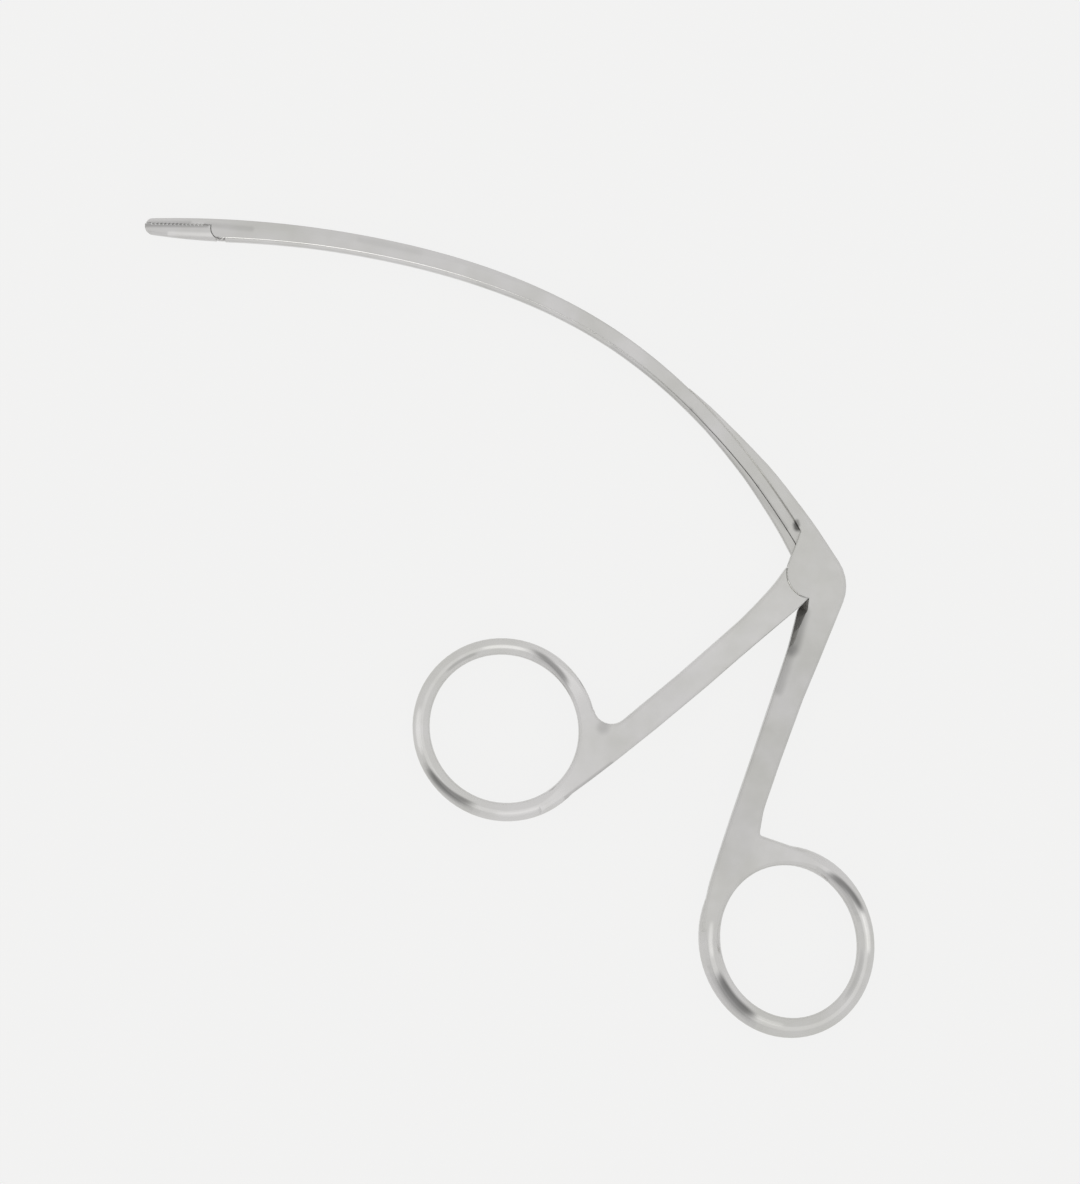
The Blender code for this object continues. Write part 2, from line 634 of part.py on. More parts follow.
def build_slider():
    """Curved drive strip: a T section with its flange below the channel, a front tongue and a rear yoke."""
    web = CHANNEL_WIDTH / 2 - SEAT_GAP
    flange = SHAFT_WIDTH / 2
    top = CHANNEL_FLOOR + SLIDER_TOP_GAP
    rings = []
    for station in stations(-SLIDER_TAIL, HINGE_STATION - FLANGE_START, SHAFT_STEP):
        shelf = shelf_depth(station)
        low = slider_depth(station)
        edge = min(SLIDER_CHAMFER, 0.4 * (low - shelf))
        profile = [(top, web), (shelf, web), (shelf, flange), (low - edge, flange), (low, flange - edge)]
        ring = profile + [(d, -z) for d, z in reversed(profile)]
        place = [(along(station, d), z) for d, z in ring]
        rings.append([(p.x, p.y, z) for p, z in place])
    slider = loft("slider", rings)

    pin_room = HINGE_PIN_RADIUS + SLIDE_GAP + SEAT_GAP
    cut(slider, prism("pin_room", front_block(PIN_ROOM_REAR, pin_room), -CHANNEL_WIDTH, CHANNEL_WIDTH))
    shelf = shelf_depth(HINGE_STATION) - HINGE_DEPTH
    cut(slider, prism("lap", front_block(LAP_LENGTH, shelf - 2 * FACE_SHIFT), -LAP_GAP / 2, CHANNEL_WIDTH))

    rim = circle(LINK_PLACE, TONGUE_EYE_RADIUS)
    back = LAP_LENGTH + TONGUE_ROOT
    link_depth = LINK_RADIUS * math.cos(math.radians(JAW_OPENING / 2))
    rim.append(hinge_point(back, link_depth - TONGUE_EYE_RADIUS))
    rim.append(hinge_point(back, link_depth + TONGUE_EYE_RADIUS - PIN_CHAMFER))
    join(slider, prism("tongue", hull(rim), -web + FACE_SHIFT, -LAP_GAP / 2 - FACE_SHIFT))
    hole = LINK_PIN_RADIUS + PIN_RUNNING_FIT
    play = SLIDE_GAP + LINK_RADIUS - link_depth
    across = LINK_PLACE - hinge_point(-LINK_RADIUS * math.sin(math.radians(JAW_OPENING / 2)), 0.0)
    across.normalize()
    rim = circle(LINK_PLACE - play * across, hole) + circle(LINK_PLACE + play * across, hole)
    cut(slider, prism("link_slot", hull(rim), -CHANNEL_WIDTH, CHANNEL_WIDTH))

    half = RIVET_RADIUS + SLIDE_GAP
    moved = rivet_places(STROKE)
    for name, place in rivet_places().items():
        rim = circle(place, half, 20) + circle(moved[name], half, 20)
        cut(slider, prism("rivet_slot", hull(rim), -CHANNEL_WIDTH, CHANNEL_WIDTH))

    join(slider, build_yoke(web - 2 * FACE_SHIFT))
    return slider


def front_block(rear, deep):
    """Outline round the slider's front end, above a depth and ahead of a place behind the hinge."""
    corners = ((-OVERCUT, -HINGE_DEPTH - OVERCUT), (rear, -HINGE_DEPTH - OVERCUT), (rear, deep), (-OVERCUT, deep))
    return [hinge_point(*corner) for corner in corners]


def build_yoke(half):
    """Rear end of the slider, inside the head: it passes beside the hub and grips the handle's nose."""
    axis = NOSE_PLACE.dot(-direction(HEEL_ANGLE))
    out = NOSE_PLACE.dot(direction(HEEL_ANGLE + 90.0))
    gap_half = NOSE_RADIUS + NOTCH_GAP
    room = HUB_RADIUS + SLIDE_GAP + SEAT_GAP
    tips = room + SEAT_GAP
    floor = out + NOSE_RADIUS + NOTCH_FLOOR_GAP
    back = CREST_OFFSET - BACK_WALL - SLIDE_GAP
    strip_low = HEEL_OFFSET - slider_depth(0.0) + YOKE_INSET
    strip_high = HEEL_OFFSET - CHANNEL_FLOOR - SLIDER_TOP_GAP - YOKE_INSET / 2
    corners = [
        (HEEL_AHEAD - YOKE_LAP, strip_low),
        (room + STROKE + YOKE_SHOULDER, strip_low),
        (room + STROKE + YOKE_INSET, 0.0),
        (YOKE_HIP[0] * room + STROKE + SLIDE_GAP, YOKE_HIP[1] * room),
        (axis + gap_half + YOKE_PRONG, tips),
        (axis + gap_half, tips),
        (axis + gap_half, floor),
        (axis - gap_half, floor),
        (axis - gap_half, tips),
        (axis - gap_half - YOKE_PRONG, tips),
        (axis - gap_half - YOKE_PRONG, back),
        (axis + gap_half + YOKE_PRONG + YOKE_LAP, back),
        (HEEL_AHEAD - SHAFT_TANG - 2 * YOKE_INSET, strip_high),
        (HEEL_AHEAD - YOKE_LAP, strip_high),
    ]
    outline = [head_point(ahead, side) for ahead, side in corners]
    return prism("yoke", outline, -half, half)


def bar_point(bar, pair):
    """Point of a handle from a pair: reach along the bar's line, and step towards its ring."""
    angle, side = bar
    return pair[0] * direction(angle) + pair[1] * direction(angle - 90.0 * side)


def plain(points, rim=EDGE_RIM):
    """Corners with no rounding, all with the same rim."""
    return [(point, 0.0, rim) for point in points]


def ring_path(bar, place, half, tilt, grow):
    """Points round a ring's path, grown by an amount, each with its outward direction."""
    centre = bar_point(bar, place)
    major = direction(tilt)
    minor = direction(tilt + 90.0)
    path = []
    for i in range(RING_STEPS):
        angle = 2 * math.pi * i / RING_STEPS
        point = centre + half[0] * math.cos(angle) * major + half[1] * math.sin(angle) * minor
        normal = (half[1] * math.cos(angle) * major + half[0] * math.sin(angle) * minor).normalized()
        path.append((point + grow * normal, normal))
    return path


def finger_ring(bar, place, half, tilt, wire, swell):
    """Ring of oval wire, taller than it is wide, thicker on one side and squarer where it meets the bar."""
    junction = bar_point(bar, (-RING_JUNCTION_BACK, -place[1])).normalized()
    rings = []
    for point, normal in ring_path(bar, place, half, tilt, 0.0):
        nearness = normal.dot(junction)
        width = wire / 2 * (1 + swell[0] * normal.dot(direction(swell[1])))
        square = np.interp(nearness, (math.cos(math.radians(SQUARE_ANGLE)), 1.0), (0.0, 1.0))
        power = ROUND_POWER + (SQUARE_POWER - ROUND_POWER) * float(square)
        ring = []
        for i in range(WIRE_STEPS):
            spot = direction(360.0 * i / WIRE_STEPS)
            side, up = (math.copysign(abs(value) ** (2 / power), value) for value in spot)
            edge = point + width * side * normal
            ring.append((edge.x, edge.y, RING_DEPTH / 2 * up))
        rings.append(ring)
    return loft("ring", rings, closed=True)


def fillet_by_ring(bar, edge, place, outer, radius):
    """Concave arc from a bar's edge to the outside of its ring."""
    rise = place[1] - edge - radius
    run = math.sqrt((outer + radius) ** 2 - rise**2)
    toward = math.degrees(math.atan2(rise, run))
    points = []
    for i in range(9):
        spot = radius * direction(-90.0 + (toward + 90.0) * i / 8)
        points.append(bar_point(bar, (place[0] - run + spot.x, edge + radius + spot.y)))
    return points


def finish_handle(body, bar, place, half, tilt, wire, swell):
    """Thins the bar towards its ring, trims it at the ring's wire and adds the ring."""
    taper_thickness(body, bar[0], TAPER_START, TAPER_END, BAR_THICKNESS_AT_RING / HEAD_THICKNESS)
    trim = [point for point, normal in ring_path(bar, place, half, tilt, BAR_LAP)]
    cut(body, prism("trim", trim, -HEAD_THICKNESS, HEAD_THICKNESS))
    join(body, finger_ring(bar, place, half, tilt, wire, swell))


def horn_outline():
    """Corners of the horn, out along the shaft's convex edge and back along its own outside."""
    corners = plain([along(s, -HORN_SEAT) for s in stations(HORN_ROOT, HORN_LENGTH, HORN_STEP)], HORN_RIM)
    for station in stations(HORN_LENGTH, HORN_SHARES[0] * HORN_LENGTH, HORN_STEP):
        thickness = float(np.interp(station / HORN_LENGTH, HORN_SHARES, HORN_THICKNESSES))
        corners.append((along(station, -thickness), 0.0, min(EDGE_RIM, HORN_RIM_SHARE * thickness)))
    return corners


def build_back_handle():
    """Right ring, its bar, the forked head and the horn, forged as one piece."""
    plate_corner = head_point(PLATE_CORNER_AHEAD, PLATE_CORNER_OFFSET)
    turn = math.degrees(math.acos(LOBE_RADIUS / plate_corner.length))
    tangent = math.degrees(math.atan2(plate_corner.y, plate_corner.x)) + turn
    corners = plain(arc(ORIGIN, LOBE_RADIUS, LOBE_END, tangent, 18), CRISP_RIM)
    corners.append((plate_corner, PLATE_CORNER_RADIUS, CRISP_RIM))
    corners += horn_outline()
    corners.append((bar_point(BACK_BAR, BACK_OUTER_EDGE[0]), CREST_CORNER_RADIUS, EDGE_RIM))
    corners += [(bar_point(BACK_BAR, pair), EDGE_SWEEP_RADIUS, EDGE_RIM) for pair in BACK_OUTER_EDGE[1:]]
    corners.append((bar_point(BACK_BAR, BACK_WEB[0]), BACK_FILLET, EDGE_RIM))
    corners += plain([bar_point(BACK_BAR, BACK_WEB[1])])
    corners += plain([bar_point(BACK_BAR, BACK_RING_PLACE)])
    corners += plain([bar_point(BACK_BAR, BACK_BAR_END)])
    corners += [(bar_point(BACK_BAR, pair), EDGE_SWEEP_RADIUS, EDGE_RIM) for pair in BACK_INNER_EDGE[:-1]]
    corners.append((bar_point(BACK_BAR, BACK_INNER_EDGE[-1]), CROTCH_SWEEP_RADIUS, CRISP_RIM))
    corners.append((CROTCH_RADIUS * direction(CROTCH_ANGLE), 0.0, CRISP_RIM))
    handle = plate("back_handle", rounded(corners), HEAD_THICKNESS / 2)
    share = SHAFT_WIDTH / HEAD_THICKNESS
    taper_thickness(handle, HEEL_ANGLE + 180.0, HORN_TAPER_START, HORN_TAPER_END, share)
    ring = (BACK_RING_PLACE, BACK_RING_HALF, BACK_RING_TILT, BACK_RING_WIRE, BACK_RING_SWELL)
    finish_handle(handle, BACK_BAR, *ring)
    slot = SHAFT_WIDTH / 2 + SEAT_GAP
    cut(handle, prism("fork", fork_outline(), -slot, slot))
    cut(handle, edge_relief())
    profile = screw_profile(SCREW_RADIUS + FLUSH_GAP, SCREW_HEAD_RADIUS + FLUSH_GAP, -HEAD_THICKNESS, FLUSH_GAP)
    cut(handle, turned("screw_hole", ORIGIN, profile, 40))
    return handle


def screw_profile(shank, head, low, past):
    """Countersunk head on the underside, and a straight shank that ends blind in the near cheek."""
    under = -HEAD_THICKNESS / 2
    cone = under + (HEAD_THICKNESS - SHAFT_WIDTH) / 2 - SEAT_GAP
    high = SHAFT_WIDTH / 2 + SEAT_GAP + SCREW_REACH + past
    return [(head, low), (head, under + SCREW_RIM), (shank, cone), (shank, high)]


def fork_outline():
    """Space in the head for the shaft's heel, the yoke and the front handle's hub, open below the shaft."""
    wall = CREST_OFFSET - BACK_WALL
    outline = [along(s, -SEAT_GAP) for s in stations(-SHAFT_TANG - SEAT_GAP, HORN_ROOT - FACE_SHIFT, SHAFT_STEP)]
    rear = ((-SLOT_REAR, SLOT_STEP_OUT), (-SLOT_REAR, wall), (SLOT_CEILING_AHEAD, wall))
    return outline + [head_point(ahead, out) for ahead, out in SLOT_LOWER_CORNERS + rear]


def edge_relief():
    """Wedge that slopes the back handle's inner edge away from the front handle's end."""
    crotch = CROTCH_RADIUS * direction(CROTCH_ANGLE - BACK_BAR[0])
    edge_line = [(crotch.x, crotch.y)] + list(reversed(BACK_INNER_EDGE))
    full = HEAD_THICKNESS / 2
    rings = []
    for reach, width, fall in RELIEF:
        top = float(np.interp(reach, (TAPER_START, TAPER_END), (full, BAR_THICKNESS_AT_RING / 2)))
        edge = float(np.interp(reach, [r for r, e in edge_line], [e for r, e in edge_line]))
        slope = fall / width
        ring = []
        for step in (width + RELIEF_MARGIN / slope, -RELIEF_MARGIN):
            spot = bar_point(BACK_BAR, (reach, edge + step))
            ring.append((spot.x, spot.y, top + slope * (step - width)))
        ring.append((ring[1][0], ring[1][1], ring[0][2]))
        rings.append(ring)
    return loft("relief", rings)


def build_front_handle():
    """Left ring, its bar with a hollow shoulder round the head's lobe, and the hub with the nose."""
    shoulder = LOBE_RADIUS + SHOULDER_GAP
    corners = plain(arc(ORIGIN, shoulder, SHOULDER_END, SHOULDER_TOP, 16), CRISP_RIM)
    corners.append((bar_point(FRONT_BAR, FRONT_UPPER_EDGE[0]), 0.0, CRISP_RIM))
    corners += [(bar_point(FRONT_BAR, pair), EDGE_SWEEP_RADIUS, EDGE_RIM) for pair in FRONT_UPPER_EDGE[1:]]
    outer = (FRONT_RING_HALF[0] + FRONT_RING_HALF[1] + FRONT_RING_WIRE) / 2
    edge = FRONT_UPPER_EDGE[-1][1]
    corners += plain(fillet_by_ring(FRONT_BAR, edge, FRONT_RING_PLACE, outer, FRONT_FILLET))
    corners += plain([bar_point(FRONT_BAR, FRONT_RING_PLACE)])
    corners += plain([bar_point(FRONT_BAR, FRONT_BAR_END)])
    corners += [(bar_point(FRONT_BAR, pair), EDGE_SWEEP_RADIUS, EDGE_RIM) for pair in FRONT_LOWER_EDGE[:-1]]
    corners.append((bar_point(FRONT_BAR, FRONT_LOWER_EDGE[-1]), 0.0, CRISP_RIM))
    handle = plate("front_handle", rounded(corners), HEAD_THICKNESS / 2)
    ring = (FRONT_RING_PLACE, FRONT_RING_HALF, FRONT_RING_TILT, FRONT_RING_WIRE, FRONT_RING_SWELL)
    finish_handle(handle, FRONT_BAR, *ring)

    toward = math.degrees(math.atan2(NOSE_PLACE.y, NOSE_PLACE.x))
    neck = math.degrees(math.asin(NOSE_ARM_HALF / HUB_RADIUS))
    back = 180.0 - math.degrees(math.asin(NOSE_ARM_HALF / NOSE_RADIUS))
    outline = [WEB_REACH * direction(WEB_ANGLES[1] - WEB_SKEW)]
    outline += arc(ORIGIN, HUB_RADIUS, WEB_ANGLES[1] - 360.0, toward - neck, 24)
    outline += arc(NOSE_PLACE, NOSE_RADIUS, toward - back, toward + back, 20)
    outline += arc(ORIGIN, HUB_RADIUS, toward + neck, WEB_ANGLES[0], 20)
    outline.append(WEB_REACH * direction(WEB_ANGLES[0] + WEB_SKEW))
    join(handle, prism("tongue", outline, -SHAFT_WIDTH / 2, SHAFT_WIDTH / 2))
    hole = SCREW_RADIUS + RUNNING_FIT
    cut(handle, turned("hub_hole", ORIGIN, [(hole, -HEAD_THICKNESS), (hole, HEAD_THICKNESS)], 40))
    return handle


def build_pivot_screw():
    """Countersunk screw, set from the underside, with a slot across its head."""
    under = -HEAD_THICKNESS / 2
    profile = screw_profile(SCREW_RADIUS, SCREW_HEAD_RADIUS, under + FLUSH_GAP, 0.0)
    screw = turned("pivot_screw", ORIGIN, profile, 40)
    reach = SCREW_HEAD_RADIUS + OVERCUT
    across = SCREW_SLOT_WIDTH / 2
    outline = [Vector(p) for p in ((-reach, -across), (reach, -across), (reach, across), (-reach, across))]
    cut(screw, prism("screw_slot", outline, under - OVERCUT, under + SCREW_SLOT_DEPTH))
    return screw


def build_pin(name, centre, radius, low, high):
    """Plain pin with a small chamfer at each end."""
    end = radius - PIN_CHAMFER
    profile = [(end, low), (radius, low + PIN_CHAMFER), (radius, high - PIN_CHAMFER), (end, high)]
    return turned(name, centre, profile, 24)


def finish_material(body, name, colour):
    """Gives a part its plain steel and its shading."""
    steel = bpy.data.materials.get(name) or bpy.data.materials.new(name)
    steel.use_nodes = True
    shader = steel.node_tree.nodes["Principled BSDF"]
    shader.inputs["Base Color"].default_value = (*colour, 1.0)
    shader.inputs["Metallic"].default_value = 1.0
    shader.inputs["Roughness"].default_value = STEEL_ROUGHNESS
    body.data.materials.clear()
    body.data.materials.append(steel)
    body.data.shade_smooth()
    body.data.set_sharp_from_angle(angle=math.radians(32.0))


def hang(body, centre, root):
    """Moves a part's origin onto a joint's axis and hangs the part from the root."""
    for vertex in body.data.vertices:
        vertex.co.x -= centre.x
        vertex.co.y -= centre.y
    body.location = (centre.x, centre.y, 0.0)
    body.parent = root


def main():
    for old in list(bpy.data.objects):
        bpy.data.objects.remove(old, do_unlink=True)
    root = bpy.data.objects.new("instrument", None)
    bpy.context.scene.collection.objects.link(root)

    wall = SHAFT_WIDTH / 2
    web = CHANNEL_WIDTH / 2 - SEAT_GAP
    parts = [
        (build_shaft(), ORIGIN),
        (build_back_handle(), ORIGIN),
        (build_front_handle(), ORIGIN),
        (build_slider(), SLIDE_CENTRE),
        (build_moving_jaw(), HINGE),
        (build_pin("link_pin", LINK_PLACE, LINK_PIN_RADIUS, -web + FLUSH_GAP, web), HINGE),
        (build_pin("jaw_pin", HINGE, HINGE_PIN_RADIUS, -wall, pin_end()), ORIGIN),
        (build_pivot_screw(), ORIGIN),
    ]
    for name, place in rivet_places().items():
        parts.append((build_pin("guide_rivet_" + name, place, RIVET_RADIUS, -wall, pin_end()), ORIGIN))

    corners = np.array([v.co[:] for body, centre in parts for v in body.data.vertices])
    low = corners.min(axis=0)
    high = corners.max(axis=0)
    root.location = (-(low[0] + high[0]) / 2, -(low[1] + high[1]) / 2, -low[2])
    for body, centre in parts:
        pinned = "pin" in body.name or "rivet" in body.name or "screw" in body.name
        finish_material(body, "pin_steel" if pinned else "satin_steel", PIN_STEEL if pinned else STEEL)
        hang(body, centre, root)


main()
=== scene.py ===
"""Looks of the tendon pulling forceps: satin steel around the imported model, lit as in a pale studio."""

import json
import math

import bpy
import numpy as np
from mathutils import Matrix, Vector
from mathutils.bvhtree import BVHTree

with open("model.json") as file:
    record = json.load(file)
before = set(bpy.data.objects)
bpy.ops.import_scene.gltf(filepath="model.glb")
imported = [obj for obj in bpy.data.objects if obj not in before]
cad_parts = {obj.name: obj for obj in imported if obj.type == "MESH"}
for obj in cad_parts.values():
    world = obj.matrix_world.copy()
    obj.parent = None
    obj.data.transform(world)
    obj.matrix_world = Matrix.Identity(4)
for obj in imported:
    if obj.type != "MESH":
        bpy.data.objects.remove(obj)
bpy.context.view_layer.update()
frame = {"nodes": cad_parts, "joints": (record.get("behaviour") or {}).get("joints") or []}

MM = 0.001

# The photograph: its size, what one of its pixels measures on the object, and the pivot in it
PHOTO_SIZE = (1080, 1184)
PIXEL = 0.155 * MM
PIVOT_PIXEL = (812, 573)
PIVOT = Vector(next(j for j in frame["joints"] if j["name"] == "handle_hinge")["pos_m"])
CAMERA_DISTANCE = 0.8
CAMERA_REACH = (0.05, 20.0)
SENSOR = 36.0

# Polished rings in the photograph: centre, half sizes and tilt of the wire's path, then the end of the bar
# and the radius round it that stays satin
RINGS = {
    "front_handle": ((504.3, 729.3), (84.5, 81.6), 138, (598, 748), 34),
    "back_handle": ((787.4, 941.6), (87.1, 77.4), 106, (738, 868), 62),
}

# The polish ends between these shares of the wire's path, and comes up over this many pixels from the bar
WIRE_REACH = (1.12, 1.2)
POLISH_RUN = 45

# Share of the satin's roughness that the polish leaves
POLISH = 0.45

# How much flatter the ring's wire is shaded than it is, as if its crown were dressed by hand
CROWN = 2.4

# Painted dark reflections and painted highlights on the polished wire: direction from the ring's centre,
# angles between which the mark fades, step off the wire's middle and its change with the sine, width towards
# the inside and outside, tone
PAINTED_RING_REFLECTIONS = {
    "front_handle": [
        (53, (3, 23), -0.8, 7.7, 5.0, 5.0, 0.46),
        (227, (6, 27), 0.2, -6.0, 3.5, 9.0, 0.4),
        (122, (6, 16), -3.0, 0.0, 3.0, 3.0, 0.78),
        (90, (5, 20), 0.0, 0.0, 3.5, 3.5, 1.28),
        (181, (5, 20), 3.0, 0.0, 4.0, 4.0, 1.25),
        (280, (8, 22), 1.5, 0.0, 3.5, 3.5, 1.12),
    ],
    "back_handle": [
        (41, (5, 24), 1.4, -7.0, 7.0, 5.0, 0.35),
        (225, (8, 27), -2.5, 0.0, 6.0, 11.0, 0.31),
        (335, (10, 25), -5.0, 0.0, 3.0, 5.0, 0.85),
        (8, (8, 20), 2.5, 0.0, 4.0, 4.0, 1.35),
        (178, (6, 16), -1.0, 0.0, 4.0, 4.0, 1.25),
        (256, (5, 14), -3.0, 0.0, 3.5, 3.5, 1.2),
    ],
}

# Painted shade in creases, crevices, seams and across the bars, and painted highlight strips, on the steel in
# the photograph,
# each along a line: the line's ends, the distances between which the paint fades, and its tone, below 1 for
# shade and above 1 for highlight
PAINTED_LIGHT_AND_SHADE = {
    "front_handle": [
        ((660, 720), (660, 720), 30, 90, 0.97),
        ((603, 727), (603, 727), 2, 10, 0.8),
        ((612, 763), (566, 797), 0.5, 3.5, 0.8),
    ],
    "back_handle": [
        ((778, 712), (778, 712), 45, 125, 0.92),
        ((738, 818), (727, 850), 8, 40, 0.93),
        ((800, 612), (791, 648), 3, 12, 0.62),
        ((791, 648), (778, 690), 1, 8, 0.8),
        ((796.3, 521.5), (797.3, 525), 0.5, 3.5, 0.55),
    ],
    "shaft": [
        ((796.5, 525), (797, 527.5), 1.5, 6.0, 0.25),
        ((785.9, 528.4), (756.8, 486.6), 0.5, 3.5, 0.85),
        ((756.8, 486.6), (690.6, 410.1), 0.5, 3.5, 0.85),
        ((690.6, 410.1), (612.8, 346.7), 0.5, 3.5, 0.88),
        ((207, 225.5), (252, 229.5), 0.5, 4.5, 0.88),
        ((150, 223.5), (190, 223.5), 0.3, 3.8, 0.81),
        ((420, 253.5), (360, 240), 0.5, 5.5, 0.945),
    ],
    "slider": [
        ((474.5, 283.2), (405.5, 263.5), 0.5, 3.2, 1.07),
        ((402, 262.7), (331, 248.7), 0.5, 3.2, 1.07),
        ((327.5, 248.3), (254.5, 240.7), 0.5, 3.2, 1.07),
        ((251, 240.3), (212, 237.5), 0.5, 3.2, 1.07),
        ((785.9, 528.4), (690.6, 410.1), 0.5, 3.5, 0.9),
        ((690.6, 410.1), (612.8, 346.7), 0.5, 3.5, 0.9),
    ],
    "moving_jaw": [
        ((138, 225), (207, 225.5), 0.8, 4.0, 0.66),
        ((170, 234), (212, 235.5), 0.5, 3.5, 1.22),
    ],
}

# Painted glow on the walls of the fine seams between two pieces, standing in for light that reaches into them,
# as places across the photograph and its strength
SEAM_GLOW = {
    ("shaft", "slider"): ((440, 0.9), (470, 0.75), (520, 0.5), (620, 0.38), (690, 0.2), (717, 0.0)),
    ("shaft", "back_handle"): ((735, 0.38), (756, 0.42), (765, 0.3), (772, 0.2), (785, 0.12)),
    ("shaft", "moving_jaw"): ((152, 0.08), (178, 0.01), (190, 0.12), (200, 0.16), (206, 0.05)),
    ("front_handle", "back_handle"): ((788, 0.65), (800, 0.45), (806, 0.1)),
}
SEAM_REACH = 0.14 * MM
# Colour of the painted glow in the seams
SEAM_GLOW_TINT = (1.0, 1.0, 0.97)

# A face that leans more than this towards the flat sides is no wall of a seam
SEAM_LEAN = 0.3

# Tone and roughness of the satin steel, and of the pins and the screw
TONES = {"shaft": 0.583, "slider": 0.572, "moving_jaw": 0.575, "front_handle": 0.612, "back_handle": 0.597}
ROUGHNESS = 0.34
PIN_TONE = 0.5
PIN_ROUGHNESS = 0.3
ROUGHNESS_SWING = 0.03

# Soft clouds in the satin's colour and patches in its roughness: the scale of their noise and the values of it
# between which they change, with both colours as shares of the steel's tone
NOISE_DETAIL = 3.0
CLOUD_SCALE = 110.0
CLOUD_ROUGHNESS = 0.55
CLOUD_SPAN = (0.36, 0.64)
CLOUD_LOW = (0.945, 0.937, 0.9)
CLOUD_HIGH = (1.045, 1.03, 1.02)
PATCH_SCALE = 400.0
PATCH_SPAN = (0.3, 0.7)

# Shading of the edges and of the hand-finished surface: scale, detail, strength and depth of its waves
EDGE_ROUNDING = 0.25 * MM
EDGE_SAMPLES = 8
RIPPLE = (260.0, 1.0, 0.35, 0.1 * MM)
GRAIN = (9000.0, 2.0, 0.1, 0.02 * MM)
SHARP_ANGLE = 32

FLOOR_SIZE = 6.0
FLOOR_GAP = 0.02 * MM
FLOOR_TONE = 0.03
FLOOR_ROUGHNESS = 0.9
FLOOR_GLOW = (0.862, 0.861, 0.857)

# Studio sky: its even strength, the lamp near the zenith and its soft edge as cosines
SKY = 0.92
LAMP_AXIS = (0.1, 0.0, 1.0)
LAMP_EDGE = (0.98, 0.993)
LAMP_STRENGTH = 0.15

# The dark gap low in the south-west: its heading, how it starts overhead and weakens towards the floor, and
# its half width as a slope
GAP_HEADING = 228.0
GAP_START = (0.04, 0.16)
GAP_FADE = (0.5, 1.0, 0.45)
GAP_SPREAD = (0.27, 0.47)
GAP_STRENGTH = 0.2


def on_photo(x, y, height=0.0):
    """World point of a pixel of the photograph, at a height above the mid-plane."""
    across = (x - PIVOT_PIXEL[0]) * PIXEL
    up = (PIVOT_PIXEL[1] - y) * PIXEL
    return PIVOT + Vector((across, up, height))


def make_camera():
    """Camera square above the instrument, framed as in the photograph."""
    data = bpy.data.cameras.new("camera")
    camera = bpy.data.objects.new("camera", data)
    bpy.context.scene.collection.objects.link(camera)
    centre = on_photo(PHOTO_SIZE[0] / 2, PHOTO_SIZE[1] / 2)
    camera.location = centre + Vector((0, 0, CAMERA_DISTANCE))
    data.sensor_width = SENSOR
    data.lens = CAMERA_DISTANCE / (PHOTO_SIZE[1] * PIXEL) * SENSOR
    data.clip_start, data.clip_end = CAMERA_REACH
    bpy.context.scene.camera = camera


def nodes_of(material):
    """Node tree of a new material and its surface shader."""
    material.use_nodes = True
    tree = material.node_tree
    return tree, tree.nodes["Principled BSDF"]


def make_floor():
    """Pale floor that glows by itself, so that hardly a shadow shows, as in the photograph."""
    bpy.ops.mesh.primitive_plane_add(size=FLOOR_SIZE, location=(0, 0, -FLOOR_GAP))
    floor = bpy.context.object
    floor.name = "floor"
    material = bpy.data.materials.new("floor")
    tree, shader = nodes_of(material)
    shader.inputs["Base Color"].default_value = (FLOOR_TONE, FLOOR_TONE, FLOOR_TONE, 1)
    shader.inputs["Roughness"].default_value = FLOOR_ROUGHNESS
    shader.inputs["Specular IOR Level"].default_value = 0.0
    shader.inputs["Emission Color"].default_value = (*FLOOR_GLOW, 1)
    shader.inputs["Emission Strength"].default_value = 1.0
    floor.data.materials.append(material)


def add(tree, kind, **inputs):
    """New node with its inputs set by name."""
    node = tree.nodes.new(kind)
    for name, value in inputs.items():
        node.inputs[name.replace("_", " ")].default_value = value
    return node


def maths(tree, operation, *values):
    """New maths node. A value is a number or another node's output."""
    node = tree.nodes.new("ShaderNodeMath")
    node.operation = operation
    for socket, value in zip(node.inputs, values):
        if isinstance(value, (int, float)):
            socket.default_value = value
        else:
            tree.links.new(value, socket)
    return node.outputs["Value"]


def ease(tree, value, low, high, start=0.0, end=1.0):
    """Smooth step of a value, from start at low to end at high."""
    node = tree.nodes.new("ShaderNodeMapRange")
    node.interpolation_type = "SMOOTHSTEP"
    tree.links.new(value, node.inputs["Value"])
    for name, number in (("From Min", low), ("From Max", high), ("To Min", start), ("To Max", end)):
        node.inputs[name].default_value = number
    return node.outputs["Result"]


def along_axis(tree, vector, axis):
    """Dot product of a vector output with a fixed unit vector."""
    node = tree.nodes.new("ShaderNodeVectorMath")
    node.operation = "DOT_PRODUCT"
    tree.links.new(vector, node.inputs[0])
    node.inputs[1].default_value = Vector(axis).normalized()
    return node.outputs["Value"]


def less(tree, vector, place):
    """Vector output less a fixed place."""
    node = tree.nodes.new("ShaderNodeVectorMath")
    node.operation = "SUBTRACT"
    tree.links.new(vector, node.inputs[0])
    node.inputs[1].default_value = place
    return node.outputs["Vector"]


